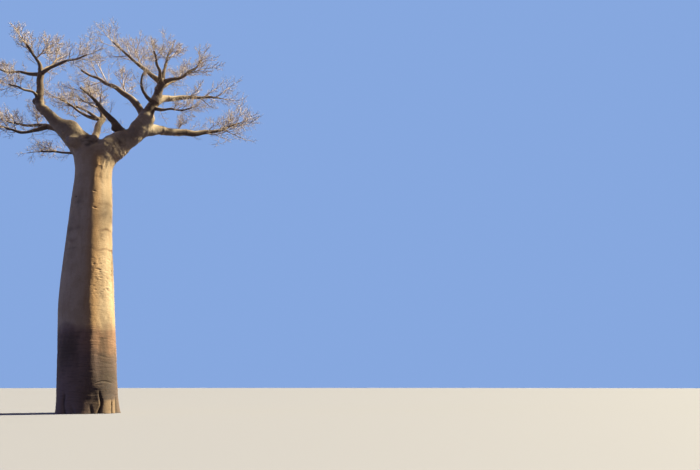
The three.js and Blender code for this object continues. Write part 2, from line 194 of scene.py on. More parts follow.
# A unit vector on a bearing and a rise: the cosine of the rise spread over X and Y, its sine on Z.
def heading(bearing, rise):
    bearing, rise = np.radians(bearing), np.radians(rise)
    level = np.cos(rise)
    return np.stack([level * np.cos(bearing), level * np.sin(bearing), np.sin(rise) + 0 * bearing], -1)


# The parabola through three values at 0, a half and 1.
def through(values, t):
    a, b, c = values
    return a * (1 - t) * (1 - 2 * t) + 4 * b * t * (1 - t) + c * t * (2 * t - 1)


def unit(vectors):
    return vectors / np.maximum(np.linalg.norm(vectors, axis=-1, keepdims=True), 1e-9)


def lengthOf(line):
    return np.linalg.norm(np.diff(line, axis=0), axis=1).sum()


# The trunk's axis moves sideways along a quarter of a sine wave, then stands upright.
def trunkAxis(z):
    return trunk["lean"] * np.sin(np.minimum(z / trunk["leanHeight"], 1) * math.pi / 2)


def onAxis(z):
    return np.stack([trunkAxis(z), 0 * z, z], -1)


# The trunk's radius: a bottle that narrows by a power of the height, times a foot that fades upwards
# and has folds round it, times the quarter circle of the dome.
def trunkRadius(z, angle):
    t = np.clip(z / trunk["neckHeight"], 0, 1)
    body = trunk["neck"] + (trunk["foot"] - trunk["neck"]) * (1 - t ** trunk["bottle"])
    flare = trunk["flare"] * np.exp(-z / trunk["flareHeight"])
    fold = trunk["flute"] * np.exp(-z / trunk["fluteHeight"]) * np.cos(trunk["flutes"] * angle)
    share = np.clip((z - trunk["height"] + trunk["dome"]) / trunk["dome"], 0, 1)
    return body * (1 + flare + fold) * np.sqrt(1 - share**2)


def nearestWhole(number):
    return math.floor(number + 0.5)


# A bough's points, step by step: its bearing and rise follow their parabolas and wander by a wave.
# Its radius narrows by a power of the way along, times a collar that fades from the foot. It is kept
# whole, and as its bare part and the part that carries twigs.
def boughPath(b, start, index):
    steps = max(limb["leastSteps"], nearestWhole(b["length"] / limb["pace"]))
    t = (np.arange(steps) + 0.5) / steps
    phase = 2 * math.pi * t * b["length"] / limb["crookLength"] + index
    bearing = through(b["bearing"], t) + limb["crook"] * np.sin(phase)
    rise = through(b["rise"], t) + limb["crook"] * np.cos(limb["crookBeat"] * phase)
    moves = heading(bearing, rise) * b["length"] / steps
    points = start + np.vstack([np.zeros(3), np.cumsum(moves, 0)])
    t = np.linspace(0, 1, steps + 1)
    fade = np.exp(-t * b["length"] / (limb["collarLength"] * b["radius"][0]))
    collar = 0 if b["at"] == 1 else limb["collar"] * fade
    radii = (b["radius"][0] + (b["radius"][1] - b["radius"][0]) * t ** limb["taper"]) * (1 + collar)
    bare = max(nearestWhole(b["bare"] * steps), 1)
    return {
        "whole": {"points": points, "radii": radii},
        "points": points[:bare + 1],
        "radii": radii[:bare + 1],
        "twigged": {"points": points[bare:], "radii": radii[bare:]},
        "twiggedLength": b["length"] / steps * (steps - bare),
    }


def along(path, share):
    place = share * (len(path["points"]) - 1)
    i = min(int(place), len(path["points"]) - 2)
    return path["points"][i] + (path["points"][i + 1] - path["points"][i]) * (place - i)


def growBoughs():
    paths = {}
    for index, (name, b) in enumerate(boughs.items()):
        if b["parent"] == "trunk":
            start = onAxis(b["at"] * trunk["height"])
        else:
            start = along(paths[b["parent"]], b["at"])
        paths[name] = boughPath(b, start, index)
    return paths


paths = growBoughs()
print("boughs worked out:", len(paths))


# A smooth line through the points of a bough, with its radii: cubic pieces whose slope at each point
# is half of the step between its neighbours.
def smoothLine(path, spacing):
    values = np.column_stack([path["points"], path["radii"]])
    ends = np.vstack([2 * values[0] - values[1], values, 2 * values[-1] - values[-2]])
    t = np.linspace(0, len(values) - 1, max(int(lengthOf(path["points"]) / spacing), 4) + 1)
    i = np.minimum(t.astype(int), len(values) - 2)
    f = (t - i)[:, None]
    a, b, c, d = ends[i], ends[i + 1], ends[i + 2], ends[i + 3]
    line = 0.5 * (2 * b + (c - a) * f + (2 * a - 5 * b + 4 * c - d) * f**2 + (3 * b - a - 3 * c + d) * f**3)
    return line[:, :3], np.maximum(line[:, 3], values[:, 3].min())


# Two axes across a line at each of its points. The one vector that the line never runs along, the
# least axis of its directions, keeps them from turning.
def axesAcross(points):
    way = unit(np.gradient(points, axis=0))
    still = np.linalg.eigh(way.T @ way)[1][:, 0]
    across = unit(np.cross(way, still))
    return way, across, np.cross(way, across)


# A ring of corners round each point: the point plus its radius along both axes by cosine and sine.
def ringsRound(points, radii, across, other, sides):
    angle = np.linspace(0, 2 * math.pi, sides, endpoint=False)[:, None]
    spoke = np.cos(angle) * across[..., None, :] + np.sin(angle) * other[..., None, :]
    return points[..., None, :] + radii[..., None, None] * spoke


# The rings of a tube along a line. Dome rings follow a quarter circle at its end.
def tubeRings(points, radii, sides, domes=0):
    way, across, other = axesAcross(points)
    if domes:
        rise = np.sin(np.linspace(0, math.pi / 2, domes + 1))[1:]
        width = np.sqrt(1 - rise**2)
        width[-1] = 0.05  # the last ring is a small one, not a point
        points = np.vstack([points, points[-1] + way[-1] * (radii[-1] * rise)[:, None]])
        radii = np.concatenate([radii, radii[-1] * width])
        across = np.vstack([across, np.repeat(across[-1:], domes, 0)])
        other = np.vstack([other, np.repeat(other[-1:], domes, 0)])
    return ringsRound(points, radii, across, other, sides)


# Faces between rings of one count, and one face to close each end.
def ringFaces(rings, sides):
    ring = np.arange(rings - 1)[:, None] * sides
    side = np.arange(sides)
    after = (side + 1) % sides
    walls = np.stack([ring + side, ring + after, ring + sides + after, ring + sides + side], -1)
    return walls.reshape(-1, 4), np.stack([side[::-1], side + sides * (rings - 1)])


def meshPiece(name, points, faces):
    mesh = bpy.data.meshes.new(name)
    mesh.from_pydata(points, [], faces, shade_flat=False)
    mesh.update()
    piece = bpy.data.objects.new(name, mesh)
    scene.collection.objects.link(piece)
    return piece


# One piece of several closed tubes, each an array of rings.
def tubePiece(name, tubes):
    faces, first = [], 0
    for rings in tubes:
        for kind in ringFaces(*rings.shape[:2]):
            faces += (kind + first).tolist()
        first += rings.shape[0] * rings.shape[1]
    return meshPiece(name, np.concatenate([rings.reshape(-1, 3) for rings in tubes]), faces)


def corners(mesh):
    flat = np.empty(len(mesh.vertices) * 3, np.float32)
    mesh.vertices.foreach_get("co", flat)
    return flat.reshape(-1, 3).astype(float)


def setCorners(mesh, points):
    mesh.vertices.foreach_set("co", points.astype(np.float32).ravel())
    mesh.update()


def keepNumbers(mesh, numbers):
    for name, values in numbers.items():
        kept = mesh.attributes.new(name, "FLOAT", "POINT")
        kept.data.foreach_set("value", values.astype(np.float32).ravel())


# A random fraction that depends only on a number: its sine, stretched, past the last whole number.
scatter = {
    "axes": (127.1, 311.7, 74.7),
    "seed": 17.3,
    "shoot": 12.9898,
    "draw": 78.233,
    "stretch": 43758.5453,
}


def fraction(number):
    number = np.sin(number) * scatter["stretch"]
    return number - np.floor(number)


# Smooth random numbers from -1 to 1: random values at whole-number corners, mixed by the curve
# 3f2 - 2f3 of the way between them.
def roughness(points, seed=0):
    cell = np.floor(points)
    f = points - cell
    f = f * f * (3 - 2 * f)
    total = np.zeros(points.shape[:-1])
    for corner in range(8):
        step = np.array([corner & 1, corner >> 1 & 1, corner >> 2 & 1])
        weight = np.prod(np.where(step, f, 1 - f), -1)
        total += weight * fraction((cell + step) @ scatter["axes"] + seed * scatter["seed"])
    return total * 2 - 1


# A bump from 0 to 1 and back: a bell curve of the distance from the middle in widths.
def bell(distance, width):
    return np.exp(-((distance / width) ** 2))


# A step from 0 to 1 between two levels, smooth at both.
def ease(value, low, high):
    t = np.clip((value - low) / (high - low), 0, 1)
    return t * t * (3 - 2 * t)


# A bump from 0 to 1 and back, level between a smooth rise and a smooth fall.
def between(value, low, high, rise, fall):
    return ease(value, low, low + rise) * ease(high - value, 0, fall)


# Hollows scattered over a sheet, at most one in each unit cell, at a random place and of a random
# width: 1 in the middle of a hollow, and less by a bell curve of the distance.
def hollows(u, v, seed, share):
    best, (a, b, c) = np.zeros(np.broadcast(u, v).shape), scatter["axes"]
    for aside in (-1, 0, 1):
        for above in (-1, 0, 1):
            i, j = np.floor(u) + aside, np.floor(v) + above
            right, high, wide, there = [fraction(i * a + j * b + (seed + k) * c) for k in range(4)]
            hollow = bell(np.hypot(u - i - right, v - j - high), 0.12 + 0.3 * wide)
            best = np.maximum(best, hollow * (there < share))
    return best


# A net of thin lines where smooth random numbers change sign: 1 on a line, and less by a bell curve
# of the number beside it.
def creases(points, width, seed):
    return bell(roughness(points, seed), width)


# Relief of the trunk. Heights in metres, bearings in degrees, depths in metres. Four numbers for
# heights or bearings say where something starts and ends, and how long it rises and falls.
trunkRelief = {
    "ridge": {"bearing": -88, "turn": 0.5, "height": 9, "width": 17, "depth": 0.085, "from": 0.8, "to": 2.2},
    "lumps": [((0.7, 0.7, 0.3), 0.045), ((2.0, 2.0, 0.8), 0.014), ((5.5, 5.5, 2.2), 0.007),
              ((11, 11, 7), 0.003)],
    "wrinkles": {"from": 0.9, "to": 4.9, "fade": 0.6, "above": 0.12, "patches": (1.1, 1.1, 1.6),
                 "patchy": 0.45, "nets": [((0.8, 0.8, 5.2), 0.22, 0.015), ((1.7, 1.7, 11.0), 0.25, 0.009)]},
    "furrow": {"sway": 3.5, "swayScale": 1.7, "narrows": 0.4, "fade": 0.5},
    "furrows": [(-66, 1.5, 0.09, 2.5), (-43, 0.9, 0.12, 2.4), (-84, 0.6, 0.04, 3), (-21, 1.1, 0.06, 5),
                (7, 0.6, 0.05, 4), (36, 1.35, 0.09, 6), (58, 0.5, 0.04, 3), (90, 1.7, 0.10, 6),
                (131, 0.8, 0.07, 5), (151, 0.45, 0.04, 3), (-177, 1.2, 0.08, 6), (-138, 1.5, 0.08, 5),
                (-118, 0.6, 0.05, 4)],
    "crease": {"from": -76, "to": -32, "bearings": (-79, -28, 8, 6), "height": 1.68, "arch": 0.14,
               "skew": 0.8, "climb": 0.3, "climbsFrom": 0.85, "depth": 0.035, "width": 0.03, "lip": 0.004},
    "ring": {"sway": 0.1, "swayScale": (0.8, 0.8, 0), "least": 0.35, "patches": (0.9, 0.9, 0.1)},
    "rings": [(10.7, 0.012, 0.14), (9.5, 0.014, 0.09), (12.35, 0.008, 0.12), (6.1, 0.008, 0.08)],
    "pits": {"heights": (6.3, 9.5, 0.8, 0.6), "bearings": (-86, -12, 12, 14), "flat": 0.8,
             "sway": 0.1, "swayScale": 2.5, "lift": 0.5, "liftScale": 3.5,
             "sizes": [(0.26, 0.022, 0.5), (0.16, 0.014, 0.6)]},
    "knot": {"wide": 1.3, "high": 0.55, "tilt": 0.3, "lip": 0.35},
    "knots": [(13.09, -85, 0.10, 0.035), (12.06, -81, 0.11, 0.045), (8.31, -64, 0.10, 0.035),
              (7.83, -62, 0.09, 0.03), (7.3, -121, 0.09, 0.03), (12.78, -143, 0.13, 0.05),
              (10.98, -79, 0.06, 0.02), (12.16, -154, 0.1, 0.04), (5.6, 30, 0.13, 0.05),
              (9.1, 75, 0.11, 0.05), (11.8, 118, 0.13, 0.05), (7.2, 160, 0.11, 0.04),
              (13.4, 20, 0.1, 0.04), (3.9, 110, 0.14, 0.05)],
    "folds": {"heights": (13.2, 15.25, 1, 0.3), "bearings": (-90, -34, 14, 14), "scale": (4.2, 4.2, 1.7),
              "width": 0.3, "depth": 0.024},
    "crumbs": {"from": 14.2, "to": 15.0, "scale": (4.5, 4.5, 2.6), "depth": 0.035},
}


def turnedFrom(degrees, bearing):
    return (degrees - bearing + 180) % 360 - 180


# How far the bark stands out of or lies under the trunk's plain surface: a sum of random lumps, a
# ridge, level wrinkles, furrows between the toes of the foot, a crease, rings, pits, knots, and folds
# with crumbs at the top.
def trunkBarkDepth(z, degrees, points):
    r = trunkRelief
    total = sum(depth * roughness(points * scale, i) for i, (scale, depth) in enumerate(r["lumps"]))
    e = r["ridge"]
    crest = turnedFrom(degrees, e["bearing"] - e["turn"] * (z - e["height"]))
    total += e["depth"] * bell(crest, e["width"]) * ease(z, e["from"], e["to"])
    w = r["wrinkles"]
    dying = 1 - (1 - w["above"]) * ease(z, w["to"] - w["fade"], w["to"])
    patchy = 1 - w["patchy"] + w["patchy"] * roughness(points * w["patches"], 6)
    band = ease(z, w["from"] - w["fade"], w["from"]) * dying * patchy
    for i, (scale, width, depth) in enumerate(w["nets"]):
        total -= depth * band * creases(points * scale, width, 50 + i)
    w = r["furrow"]
    for bearing, top, depth, width in r["furrows"]:
        sway = w["sway"] * roughness(np.stack([z * w["swayScale"], z * 0, z * 0 + bearing], -1), 7)
        cut = bell(turnedFrom(degrees, bearing + sway), width * (1 - w["narrows"] * z / top))
        total -= depth * cut * ease(top - z, 0, w["fade"] * top)
    c = r["crease"]
    t = np.clip((degrees - c["from"]) / (c["to"] - c["from"]), 0, 1)
    inside = between(degrees, *c["bearings"])
    arch = c["arch"] * np.sin(math.pi * t ** c["skew"]) + c["climb"] * ease(t, c["climbsFrom"], 1)
    above = z - c["height"] - arch
    total -= c["depth"] * inside * bell(above, c["width"])
    total += c["lip"] * inside * bell(above + 2.5 * c["width"], 2 * c["width"])
    w = r["ring"]
    sway = w["sway"] * roughness(points * w["swayScale"], 8)
    strong = w["least"] + (1 - w["least"]) * ease(roughness(points * w["patches"], 9), -0.4, 0.4)
    for height, depth, width in r["rings"]:
        total -= depth * strong * bell(z - height - sway, width)
    p = r["pits"]
    patch = between(z, *p["heights"]) * between(degrees, *p["bearings"])
    around = np.radians(degrees) * trunkRadius(z, 0) + p["sway"] * roughness(points * p["swayScale"], 13)
    lift = p["lift"] * roughness(points * p["liftScale"], 14)
    for size, depth, share in p["sizes"]:
        sheet = hollows(around / size * p["flat"], (z / size + lift) / p["flat"], int(100 * size), share)
        total -= depth * patch * sheet
    k = r["knot"]
    for height, bearing, size, depth in r["knots"]:
        aside = np.radians(turnedFrom(degrees, bearing)) * k["wide"] / size
        above = (z - height) / (k["high"] * size)
        total -= depth * bell(np.hypot(aside, above + k["tilt"] * aside), 0.8)
        total += k["lip"] * depth * bell(np.hypot(aside - 0.7, above + 1.5), 0.9)
    f, c = r["folds"], r["crumbs"]
    patch = between(z, *f["heights"]) * between(degrees, *f["bearings"])
    total -= f["depth"] * patch * creases(points * f["scale"], f["width"], 11)
    total += c["depth"] * patch * ease(z, c["from"], c["to"]) * creases(points * c["scale"], f["width"], 12)
    return total


# Marks in the bark's colour. Level is the height at which the lower bark's colours change, swayed by
# random numbers. The sunny-side mask is 1 in the middle of the side the sun lights, where the lower bark
# turns darker towards the ground: partly its own dark bark, partly painted shadow. The next mask is a
# painted warm tint along the edge between the lit side and the shade. The last runs from 0 to 1 where
# rust-brown rings of stain lie, which on the sunny side are also painted shadows of boughs.
trunkMarks = {
    # The sunny side, whose lower bark carries painted shadow.
    "sunnySide": {"bearing": -48, "width": 52},
    # A painted warm tint along the edge between the lit side and the shade.
    "litEdgeWarmth": {"bearing": -79, "width": 15},
    "rough": [((0.9, 0.9, 1.2), 0.28), ((3.5, 3.5, 4.5), 0.16)],
    "calm": {"from": 0.5, "to": 3, "least": 0.25},
    "stainAndShadow": {"sway": 0.12, "swayScale": (2.1, 2.1, 0), "least": 0.5, "patches": (2.2, 2.2, 1), "fade": 12},
    # Rings of stain; those on the sunny side are also painted shadows of boughs.
    "stainsAndShadows": [(12.38, 0.1, 0.55, -78, -8), (10.75, 0.09, 0.9, -70, -22), (9.55, 0.07, 1.0, -86, -4),
               (10.4, 0.4, 0.4, -42, -12), (10.0, 0.6, 0.25, -84, -20), (13.6, 0.6, 0.4, -95, -70),
               (8.2, 0.14, 0.5, 100, 170),
               (11.4, 0.1, 0.7, 60, 150), (6.2, 0.09, 0.7, 10, 95), (10.1, 0.12, 0.4, -178, -120),
               (7.6, 1.0, 0.2, -86, -70)],
}


def trunkColourMarks(z, degrees, points):
    m = trunkMarks
    # 1 in the middle of the sunny side, where the lower bark is darkened with painted shadow.
    sunnySide = bell(turnedFrom(degrees, m["sunnySide"]["bearing"]), m["sunnySide"]["width"])
    sway = sum(size * roughness(points * scale, 40 + i) for i, (scale, size) in enumerate(m["rough"]))
    c, s = m["calm"], m["stainAndShadow"]
    level = z + sway * (c["least"] + (1 - c["least"]) * ease(z, c["from"], c["to"]))
    # Rust-brown rings of stain, which on the sunny side are also painted shadows of boughs.
    stainAndShadow = np.zeros_like(level)
    sway = s["sway"] * roughness(points * s["swayScale"], 44)
    patchy = s["least"] + (1 - s["least"]) * ease(roughness(points * s["patches"], 45), -0.5, 0.4)
    for height, width, strength, first, last in m["stainsAndShadows"]:
        inside = between(degrees, first - s["fade"] / 2, last + s["fade"] / 2, s["fade"], s["fade"])
        stainAndShadow = np.maximum(stainAndShadow, strength * patchy * inside * bell(z - height - sway, width))
    # Painted warm tint along the edge of the lit side.
    litEdgeWarmth = bell(turnedFrom(degrees, m["litEdgeWarmth"]["bearing"]), m["litEdgeWarmth"]["width"])
    return {"level": level, "stainAndShadow": stainAndShadow, "sunnySide": sunnySide, "litEdgeWarmth": litEdgeWarmth}


# The trunk's bark is a grid over height and bearing: each corner lies on the axis at its height, out
# by the trunk's radius plus the bark's depth. Its top dives under the bark of the head.
trunkGrid = {"rows": 474, "columns": 204, "seam": 14.6, "edge": 0.02, "under": 0.35, "dive": 0.12}


def makeTrunkBark():
    g = trunkGrid
    z = np.linspace(0, g["seam"] + g["under"], g["rows"])[:, None]
    degrees = np.linspace(-180, 180, g["columns"], endpoint=False)[None]
    z, degrees = np.broadcast_arrays(z, degrees)
    spoke = heading(degrees, 0)
    plain = onAxis(z) + spoke * trunkRadius(z, np.radians(degrees))[..., None]
    depth = trunkBarkDepth(z, degrees, plain)
    dive = g["dive"] * ease(z, g["seam"] + g["edge"], g["seam"] + g["under"])
    piece = tubePiece("trunkBark", [plain + spoke * (depth - dive)[..., None]])
    keepNumbers(piece.data, {"hollow": depth, **trunkColourMarks(z, degrees, plain)})
    return piece


trunkBark = makeTrunkBark()
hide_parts("trunk")
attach(trunkBark, "root")
print("trunk bark:", len(trunkBark.data.polygons), "faces")


# The head and the stout limbs are one skin. Closed tubes are joined by a voxel remesh, then each
# point is moved to where the blended distance to all the limbs is nought.
head = {
    "voxel": 0.034,
    "start": 14.2,
    "trunkTubes": [(14.2, 15.5), (15.6, 16.48)],
    "trunkRings": 12,
    "trunkSides": 60,
    "stout": ["left_lower", "left_upper", "right_lower", "right_upper", "back", "low_left",
              "middle", "far_right", "inner_left", "right_level", "top_left"],
    "sides": 28,
    "domeRings": 6,
    "spacing": 0.22,
    "fillet": 0.42,  # how wide a limb blends into what it leaves, as a share of its foot radius
    "leastRadius": 0.1,  # where a limb gets thinner, a slim tube takes over
    "steps": 3,
    "longestStep": 0.06,
    "margin": 0.1,
    "trunkBark": (14.75, 15.7),  # between these heights the trunk's relief gives way to the limbs'
    "trunkMarks": (15, 16),
    "notch": ((-0.2, 16.72), 0.2, 0.15),  # cut from front to back between the two main limbs
    "knobRings": 9,
    "knobSides": 24,
    "knobs": [((0, -0.66, 16.02), 0.42, 0.4), ((0.4, -0.53, 16.36), 0.46, 0.5),
              ((0.85, -0.45, 16.7), 0.42, 0.5), ((-0.95, -0.45, 15.4), 0.4, 0.4),
              ((-0.61, -0.5, 16.5), 0.27, 0.3), ((-1.92, -0.62, 16.2), 0.3, 0.3),
              ((-2.13, -0.05, 17.32), 0.37, 0.5), ((-1.9, -0.15, 17.2), 0.34, 0.5),
              ((0.64, -0.3, 17.55), 0.15, 0.3), ((0.52, -0.32, 17.4), 0.13, 0.3),
              ((3.05, -0.1, 20.4), 0.15, 0.3), ((-4.1, -0.02, 18.75), 0.24, 0.4)],
}


# Distance to a tapering limb: to the nearest point of its line, less the radius there. With it come
# that radius and the point's place along the line, counted in steps.
def limbDistance(p, line, radii):
    best, place, radius = np.full(len(p), np.inf), np.zeros(len(p)), np.zeros(len(p))
    for i, (start, step) in enumerate(zip(line, np.diff(line, axis=0))):
        t = np.clip((p - start) @ step / (step @ step), 0, 1)
        local = radii[i] + (radii[i + 1] - radii[i]) * t
        near = np.linalg.norm(p - start - t[:, None] * step, axis=1) - local
        closer = near < best
        best = np.where(closer, near, best)
        place, radius = np.where(closer, i + t, place), np.where(closer, local, radius)
    return best, place, radius


def trunkDistance(p):
    low = trunk["height"] - trunk["dome"]
    z = np.minimum(p[:, 2], low)
    side = np.hypot(p[:, 0] - trunkAxis(z), p[:, 1])
    rise = np.maximum(p[:, 2] - low, 0) * trunk["neck"] / trunk["dome"]
    return np.hypot(side, rise) - trunkRadius(z, 0)


# The smaller of two distances, blended where they are nearer to each other than k.
def blended(a, b, k):
    return np.minimum(a, b) - np.maximum(k - np.abs(a - b), 0) ** 2 / (4 * k)


def stoutPart(name):
    line, radii = smoothLine(paths[name]["whole"], head["spacing"])
    end = max(int((radii > head["leastRadius"]).sum()), 3)
    return line[:end], radii[:end]


stoutLines = {name: stoutPart(name) for name in head["stout"]}


def skinDistance(p):
    d = trunkDistance(p)
    for centre, size, blend in head["knobs"]:
        d = blended(d, np.linalg.norm(p - centre, axis=1) - size, blend)
    for name, (line, radii) in stoutLines.items():
        k = head["fillet"] * radii[0]
        margin = radii[0] + k + head["margin"]
        near = np.all((p > line.min(0) - margin) & (p < line.max(0) + margin), axis=1)
        d[near] = blended(d[near], limbDistance(p[near], line, radii)[0], k)
    (x, z), size, k = head["notch"]
    return -blended(-d, np.hypot(p[:, 0] - x, p[:, 2] - z) - size, k)


def slope(p, reach=0.01):
    steps = np.eye(3) * reach
    return unit(np.stack([skinDistance(p + s) - skinDistance(p - s) for s in steps], -1))


# Relief of the limbs: lumps and hollows along them, folds in the armpits, and rings like knuckles.
limbRelief = {
    # Slimmer limbs are painted darker: partly browner bark, partly painted shade.
    "thick": 0.25,  # down to this radius the bark is pale, and at the next one it is all brown
    "thin": 0.13,
    # limbs that darken, a painted shadow, between which shares of their length
    "brownAndShade": {"left_upper": (0, 0.2), "right_upper": (0, 0.2), "middle": (0, 0.2), "inner_left": (0, 0.2),
              "far_right": (0.36, 0.45), "right_level": (0.55, 0.75)},
    "leastBrownAndShade": 0.15,
    # Sides that face up are painted paler, as painted light.
    "paintedTopLight": {"from": 0.1, "to": 0.7, "share": 0.85},  # how far a side that faces up is pale again
    "lumps": [(1.1, 0.05), (3.0, 0.028), (8.0, 0.012)],
    "armpit": {"reach": 0.35, "scale": (3.4, 3.4, 4.2), "width": 0.28, "depth": 0.022},
    "knuckles": [("far_right", 0.27, 0.03, 0.06), ("far_right", 0.55, 0.02, 0.05),
                 ("left_lower", 0.5, 0.05, 0.09), ("left_lower", 0.93, 0.04, 0.1),
                 ("left_upper", 0.12, 0.03, 0.06), ("inner_left", 0.3, 0.025, 0.05),
                 ("right_upper", 0.05, 0.03, 0.08), ("middle", 0.22, 0.03, 0.05),
                 ("right_level", 0.3, 0.02, 0.05), ("low_left", 0.45, 0.03, 0.06),
                 ("back", 0.5, 0.03, 0.08), ("top_left", 0.4, 0.02, 0.05)],
}


# The brown share is at least a little everywhere and shrinks where a side faces up: painted shade
# underneath and painted light on top.
def shadedUnderLitOver(brownAndShade, facingUp):
    b = limbRelief["paintedTopLight"]
    return np.maximum(brownAndShade, limbRelief["leastBrownAndShade"]) * (1 - b["share"] * ease(facingUp, b["from"], b["to"]))


# How far a limb's bark stands out, and how dark it is painted: browner where it is slim, partly its
# bark and partly painted shade, and in painted shadow past given shares of some limbs.
def limbBarkDepth(p):
    trunkNear = trunkDistance(p)
    best, radius = trunkNear.copy(), np.full(len(p), trunk["neck"])
    total, brownAndShade = np.zeros(len(p)), np.zeros(len(p))
    pit, thin, thick = limbRelief["armpit"], limbRelief["thin"], limbRelief["thick"]
    for name, (line, radii) in stoutLines.items():
        reach, place, local = limbDistance(p, line, radii)
        share = place / (len(line) - 1)
        closer = reach < best
        radius[closer] = local[closer]
        brownAndShade[closer] = ease(share[closer], *limbRelief["brownAndShade"].get(name, (1, 2)))
        best = np.minimum(best, reach)
        onLimb = 1 - ease(reach, 0, 0.25 * radii[0])
        for owner, middle, depth, width in limbRelief["knuckles"]:
            if owner == name:
                total += onLimb * depth * bell((share - middle) * lengthOf(line), width)
        if boughs[name]["parent"] == "trunk":
            both = bell(reach - trunkNear, pit["reach"] * radii[0]) * onLimb
            total -= pit["depth"] * both * creases(p * pit["scale"], pit["width"], 20)
    size = np.clip(radius / 0.5, 0.15, 1)
    for i, (scale, depth) in enumerate(limbRelief["lumps"]):
        total += depth * size * roughness(p * scale, 21 + i)
    return total, np.maximum(brownAndShade, 1 - ease(radius, thin, thick))


def joinBySpace(piece, voxel):
    join = piece.modifiers.new("join", "REMESH")
    join.mode, join.voxel_size = "VOXEL", voxel
    joined = bpy.data.meshes.new_from_object(piece.evaluated_get(bpy.context.evaluated_depsgraph_get()))
    piece.modifiers.clear()
    old = piece.data
    piece.data = joined
    bpy.data.meshes.remove(old)


# Cuts a piece level and closes the cut with a flat face.
def cutLevel(mesh, z):
    shape = bmesh.new()
    shape.from_mesh(mesh)
    cut = bmesh.ops.bisect_plane(
        shape,
        geom=shape.verts[:] + shape.edges[:] + shape.faces[:],
        plane_co=(0, 0, z),
        plane_no=(0, 0, 1),
        clear_inner=True,
    )
    edges = [e for e in cut["geom_cut"] if isinstance(e, bmesh.types.BMEdge)]
    for face in bmesh.ops.contextual_create(shape, geom=edges)["faces"]:
        face.normal_update()
        if face.normal.z > 0:
            face.normal_flip()
    shape.to_mesh(mesh)
    shape.free()


def bearingOf(p):
    return np.degrees(np.arctan2(p[:, 1], p[:, 0] - trunkAxis(p[:, 2])))


def makeLimbBark():
    z = np.concatenate([np.linspace(*span, head["trunkRings"]) for span in head["trunkTubes"]])
    spoke = heading(np.linspace(0, 360, head["trunkSides"], endpoint=False), 0)
    tubes = [onAxis(z)[:, None] + trunkRadius(z, 0)[:, None, None] * spoke]
    for line, radii in stoutLines.values():
        tubes.append(tubeRings(line, radii, head["sides"], head["domeRings"]))
    for centre, size, _ in head["knobs"]:
        rise = np.linspace(-size, size, head["knobRings"])
        width = np.sqrt(np.maximum(size**2 - rise**2, 1e-4))
        tubes.append(tubeRings(rise[:, None] * up + centre, width, head["knobSides"]))
    piece = tubePiece("limbBark", tubes)
    joinBySpace(piece, head["voxel"])
    p = corners(piece.data)
    free = p[:, 2] > head["start"] + head["margin"]
    most = head["longestStep"]
    for _ in range(head["steps"]):
        q = p[free]
        p[free] = q - np.clip(skinDistance(q), -most, most)[:, None] * slope(q)
    q = p[free]
    out = slope(q)
    limbDepth, brownAndShade = limbBarkDepth(q)
    trunkDepth = trunkBarkDepth(q[:, 2], bearingOf(q), q)
    onTrunk = 1 - ease(q[:, 2], *head["trunkBark"])
    depth = limbDepth * (1 - onTrunk) + trunkDepth * onTrunk
    p[free] = q + out * depth[:, None]
    setCorners(piece.data, p)
    marks = trunkColourMarks(p[:, 2], bearingOf(p), p)
    # The rings of stain and painted bough shadow, and the painted warm edge, fade out above the fork.
    for name in ("stainAndShadow", "litEdgeWarmth"):
        marks[name] *= 1 - ease(p[:, 2], *head["trunkMarks"])
    marks["hollow"], marks["brownAndShade"] = np.zeros((2, len(p)))
    # Painted shade underneath and painted light on top, over the brown of slim limbs.
    marks["hollow"][free], marks["brownAndShade"][free] = depth, shadedUnderLitOver(brownAndShade, out[:, 2])
    keepNumbers(piece.data, marks)
    cutLevel(piece.data, trunkGrid["seam"])
    piece.data.shade_smooth()
    return piece


limbBark = makeLimbBark()
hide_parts(*[f"bough_{name}" for name in head["stout"]])
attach(limbBark, "root")
print("limb bark:", len(limbBark.data.polygons), "faces")


# The slim boughs, and the thin ends of the stout ones, are tubes of their own, rooted inside what they
# leave, with knobbly bark: each ring's radius is raised and lowered by random numbers.
slim = {
    "sides": 12,
    "spacing": 0.07,
    "overlap": 0.5,  # how far the thin end of a stout bough reaches back into its skin
    "inside": 0.96,  # its radius there, so that it lies under the skin
    "domeRings": 4,
    "lumps": [(2.2, 0.16), (6.0, 0.1), (14.0, 0.05)],
    "hollow": 0.1,  # depth of the bark for a lump of the whole radius
    "level": 18,  # the height at which the bark is all a limb's
}


def slimPart(name):
    line, radii = smoothLine(paths[name]["whole"], slim["spacing"])
    if name in head["stout"]:
        if boughs[name]["bare"] == 1:
            return None
        first = int((radii > head["leastRadius"]).sum() - slim["overlap"] / slim["spacing"])
        return line[first:], radii[first:] * slim["inside"]
    return line, radii


def makeSlimBark():
    tubes, depths, brownAndShadeLists = [], [], []
    for part in filter(None, map(slimPart, boughs)):
        rings = tubeRings(*part, slim["sides"], slim["domeRings"])
        axis = rings.mean(1, keepdims=True)
        share = sum(size * roughness(rings * scale, 30 + i) for i, (scale, size) in enumerate(slim["lumps"]))
        tubes.append(axis + (rings - axis) * (1 + share[..., None]))
        depths.append(share.ravel() * slim["hollow"])
        # Slim boughs: painted shade underneath and painted light on top.
        brownAndShadeLists.append(shadedUnderLitOver(1, unit(rings - axis)[..., 2].ravel()))
    piece = tubePiece("slimBark", tubes)
    depth = np.concatenate(depths)
    level = np.full(len(depth), slim["level"])
    keepNumbers(piece.data, {"hollow": depth, "level": level, "brownAndShade": np.concatenate(brownAndShadeLists)})
    return piece


slimBark = makeSlimBark()
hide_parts(*[f"bough_{name}" for name in boughs if name not in head["stout"]])
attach(slimBark, "root")
print("slim bark:", len(slimBark.data.polygons), "faces")


